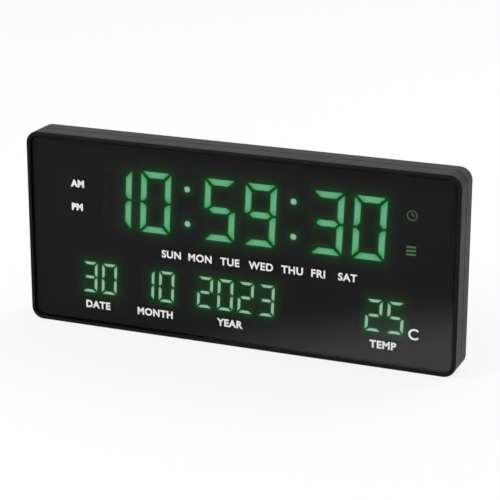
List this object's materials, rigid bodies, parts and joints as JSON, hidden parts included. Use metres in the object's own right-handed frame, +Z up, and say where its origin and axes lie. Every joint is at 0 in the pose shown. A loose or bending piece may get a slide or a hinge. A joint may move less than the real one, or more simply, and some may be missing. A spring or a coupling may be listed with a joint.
{
  "type": "digital wall clock",
  "caption": "Wide black digital wall clock with a smoked face over green seven-segment rows for time, date and temperature, rear keys, keyholes and a power inlet.",
  "frame": {"origin": "bottom centre of the case, where it stands on its lower edge", "axes": "+Z up, +X to the right as seen from the front, +Y from the face to the wall"},
  "size_m": [0.36, 0.03, 0.158],
  "materials": {
    "frame_black": "semi-gloss moulded",
    "smoked_lens": "polished smoked acrylic",
    "black_tape": "foam tape",
    "mask_black": "printed film",
    "reflector_white": "moulded white",
    "green_light": "lit diffuser",
    "dim_green": "unlit diffuser",
    "board_green": "solder mask",
    "diode_body": "moulded",
    "chip_black": "moulded",
    "crystal_can": "drawn can",
    "capacitor_can": "sleeved can",
    "resistor_body": "glazed chip",
    "buzzer_black": "moulded",
    "bead_epoxy": "dipped bead",
    "sensor_ceramic": "coated",
    "switch_black": "moulded",
    "plunger_black": "moulded",
    "key_grey": "moulded",
    "rear_black": "fine moulded texture",
    "cell_steel": "plated",
    "contact_metal": "spring strip",
    "lead_red": "insulated wire",
    "cover_black": "moulded",
    "inlet_black": "moulded",
    "nut_metal": "plated",
    "black_screw": "blackened",
    "bright_screw": "plated"
  },
  "bodies": {
    "case": {"front_frame": "frame_black", "front_lens": "smoked_lens", "lens_tape": "black_tape", "mask_film": "mask_black", "reflector": "reflector_white", "hour_bars": "green_light", "minute_bars": "green_light", "second_bars": "green_light", "colon_dots": "green_light", "date_bars": "green_light", "month_bars": "green_light", "year_bars": "green_light", "temperature_bars": "green_light", "indicator_windows": "dim_green", "circuit_board": "board_green", "diodes": "diode_body", "controller_chip": "chip_black", "driver_chips": "chip_black", "crystal": "crystal_can", "capacitors": "capacitor_can", "resistors": "resistor_body", "buzzer": "buzzer_black", "thermistor": "bead_epoxy", "light_sensor": "sensor_ceramic", "switch_bodies": "switch_black", "rear_cover": "rear_black", "coin_cell": "cell_steel", "lower_contact": "contact_metal", "side_contact": "contact_metal", "coin_leads": "lead_red", "power_inlet": "inlet_black", "inlet_nut": "nut_metal", "power_leads": "lead_red", "case_screws": "black_screw", "board_screws": "bright_screw"},
    "set_button": {"set_key": "key_grey", "set_plunger": "plunger_black"},
    "up_button": {"up_key": "key_grey", "up_plunger": "plunger_black"},
    "down_button": {"down_key": "key_grey", "down_plunger": "plunger_black"},
    "alarm_button": {"alarm_key": "key_grey", "alarm_plunger": "plunger_black"},
    "twist_cover": {"coin_cover": "cover_black"}
  },
  "joints": [
    {"name": "set_press", "type": "slide", "parent": "case", "child": "set_button", "axis": [0, -1, 0], "range_m": [0, 0.0005], "stiffness_N_per_m": 1000, "springref_m": -0.0003},
    {"name": "up_press", "type": "slide", "parent": "case", "child": "up_button", "axis": [0, -1, 0], "range_m": [0, 0.0005], "stiffness_N_per_m": 1000, "springref_m": -0.0003},
    {"name": "down_press", "type": "slide", "parent": "case", "child": "down_button", "axis": [0, -1, 0], "range_m": [0, 0.0005], "stiffness_N_per_m": 1000, "springref_m": -0.0003},
    {"name": "alarm_press", "type": "slide", "parent": "case", "child": "alarm_button", "axis": [0, -1, 0], "range_m": [0, 0.0005], "stiffness_N_per_m": 1000, "springref_m": -0.0003},
    {"name": "cover_turn", "type": "hinge", "parent": "case", "child": "twist_cover", "pos_m": [-0.07, 0.0139, 0.059], "axis": [0, 1, 0], "range_deg": [0, 60]}
  ]
}
